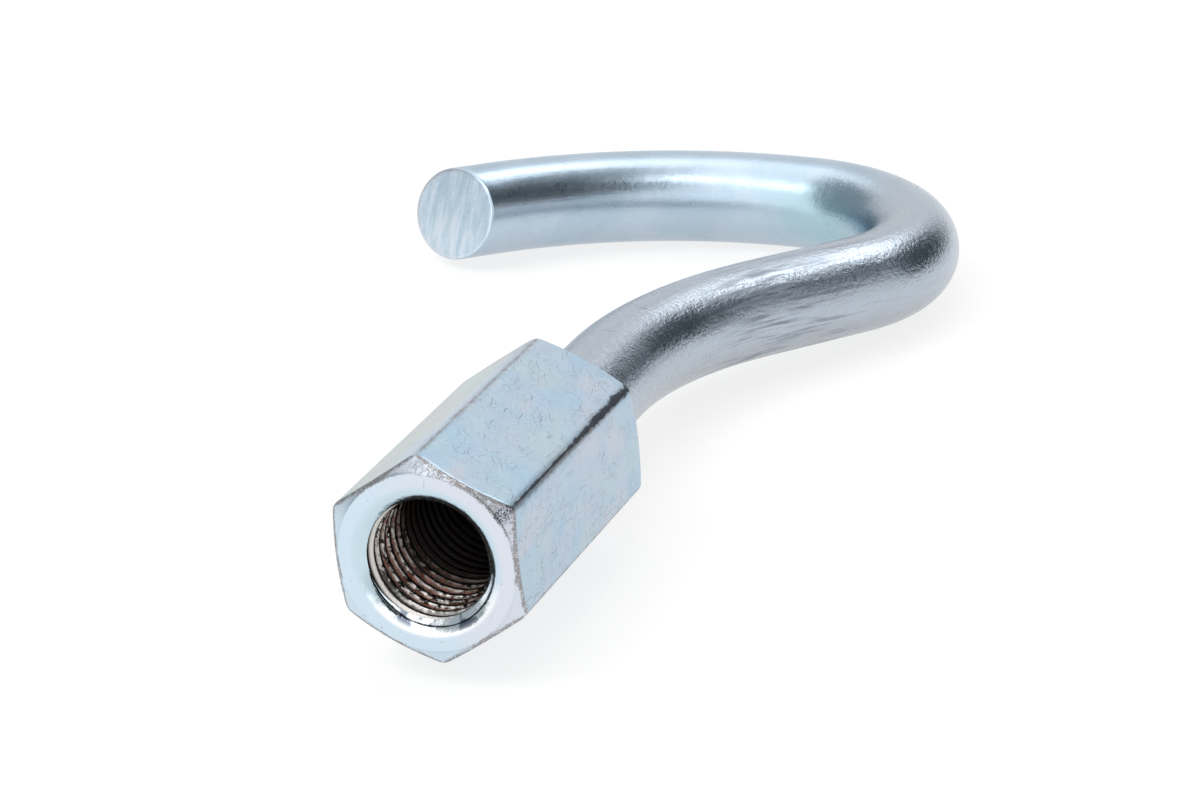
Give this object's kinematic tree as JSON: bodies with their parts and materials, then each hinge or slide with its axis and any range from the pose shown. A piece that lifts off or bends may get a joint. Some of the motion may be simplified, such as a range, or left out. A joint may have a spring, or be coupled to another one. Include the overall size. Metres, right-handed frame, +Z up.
{
  "type": "screw hook",
  "caption": "Bent round-rod hook with a hexagonal sleeve that has a female thread at its mouth.",
  "frame": {"origin": "on the sleeve's axis, where the thread meets the countersink of the mouth", "axes": "+Z up from the flat floor that the hook lies on; +Y from the mouth towards the bow, level, with the sleeve's axis dipping 3.74 degrees below it; +X towards the belly of the bow, so the free end points to -X"},
  "size_m": [0.0489, 0.0887, 0.0174],
  "materials": {
    "sleeve_zinc": "bright zinc plate on steel, pale blue passivation, tumbling scratches, rust in the thread",
    "rod_zinc": "satin zinc plate on bent steel rod, grey drawing marks on the neck and the bow"
  },
  "bodies": {
    "root": {"hex_sleeve": "sleeve_zinc", "hook_rod": "rod_zinc"}
  },
  "joints": []
}
